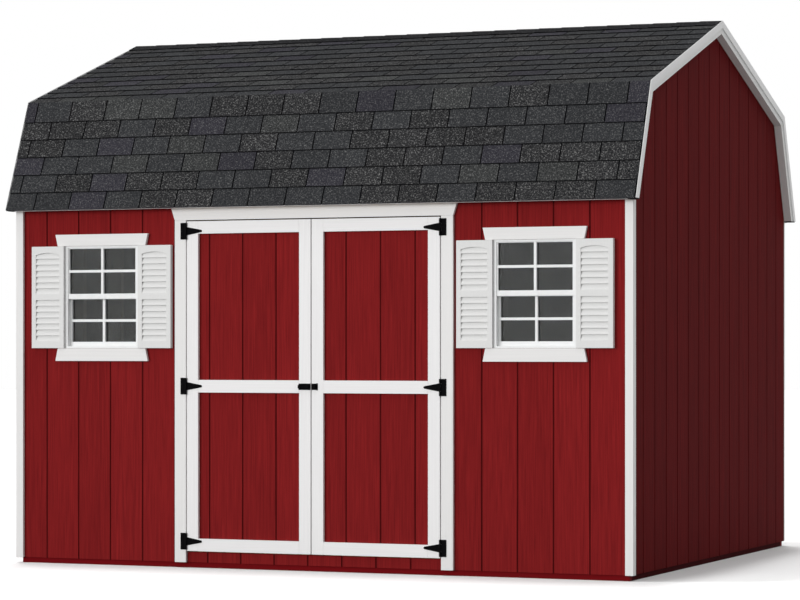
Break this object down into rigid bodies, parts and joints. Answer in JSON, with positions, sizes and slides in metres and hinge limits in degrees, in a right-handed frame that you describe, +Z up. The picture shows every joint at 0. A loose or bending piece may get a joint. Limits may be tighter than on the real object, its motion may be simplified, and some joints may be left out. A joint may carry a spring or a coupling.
{
  "type": "barn shed",
  "caption": "Wooden garden shed with a gambrel roof, grooved siding, hinged double doors with a slide bolt, shuttered windows, and open stud framing inside.",
  "frame": {"origin": "on the ground under the middle of the building", "axes": "+X along the ridge, -Y out of the doors, +Z up"},
  "size_m": [3.778, 3.2096, 3.1045],
  "materials": {
    "painted_siding": "barn red exterior paint over grooved wood panel",
    "framing_lumber": "bare planed softwood",
    "strand_board": "bare pressed strand board",
    "asphalt_shingle": "charcoal mineral granules",
    "white_trim": "white exterior paint",
    "white_metal": "white coil coating",
    "black_metal": "black powder coat",
    "window_vinyl": "white satin",
    "shutter_plastic": "white, fine moulded grain",
    "window_glass": "clear, dark interior behind"
  },
  "bodies": {
    "shed": {"floor_rims": "painted_siding", "floor_joists": "framing_lumber", "floor_deck": "strand_board", "front_siding_left": "painted_siding", "front_siding_right": "painted_siding", "front_siding_middle": "painted_siding", "back_siding": "painted_siding", "left_siding": "painted_siding", "right_siding": "painted_siding", "long_wall_plates": "framing_lumber", "gable_wall_plates": "framing_lumber", "wall_studs": "framing_lumber", "opening_headers": "framing_lumber", "lower_rafters": "framing_lumber", "upper_rafters": "framing_lumber", "truss_gussets": "strand_board", "lower_roof_deck": "strand_board", "upper_roof_deck": "strand_board", "lower_shingles": "asphalt_shingle", "upper_shingles": "asphalt_shingle", "ridge_cap": "asphalt_shingle", "rake_boards": "white_trim", "rake_flashing": "white_metal", "rake_foot_plates": "black_metal", "eave_drip_edges": "white_metal", "corner_trim": "white_trim", "door_casings": "white_trim", "door_header_trim": "white_trim", "hinge_plates": "black_metal", "window_frames": "window_vinyl", "window_sashes": "window_vinyl", "window_glass": "window_glass", "window_trim": "white_trim", "shutters": "shutter_plastic"},
    "left_door": {"left_door_panel": "painted_siding", "left_door_stiles": "white_trim", "left_door_rails": "white_trim", "left_hinge_straps": "black_metal", "latch_plate": "black_metal"},
    "right_door": {"right_door_panel": "painted_siding", "right_door_stiles": "white_trim", "right_door_rails": "white_trim", "right_hinge_straps": "black_metal", "latch_keeper": "black_metal"},
    "bolt": {"latch_bolt": "black_metal"}
  },
  "joints": [
    {"name": "left_door_swing", "type": "hinge", "parent": "shed", "child": "left_door", "pos_m": [-0.764, -1.549, 1.0145], "axis": [0, 0, -1], "range_deg": [0, 170]},
    {"name": "right_door_swing", "type": "hinge", "parent": "shed", "child": "right_door", "pos_m": [0.764, -1.549, 1.0145], "axis": [0, 0, 1], "range_deg": [0, 170]},
    {"name": "bolt_slide", "type": "slide", "parent": "left_door", "child": "bolt", "axis": [1, 0, 0], "range_m": [0, 0.03]}
  ]
}
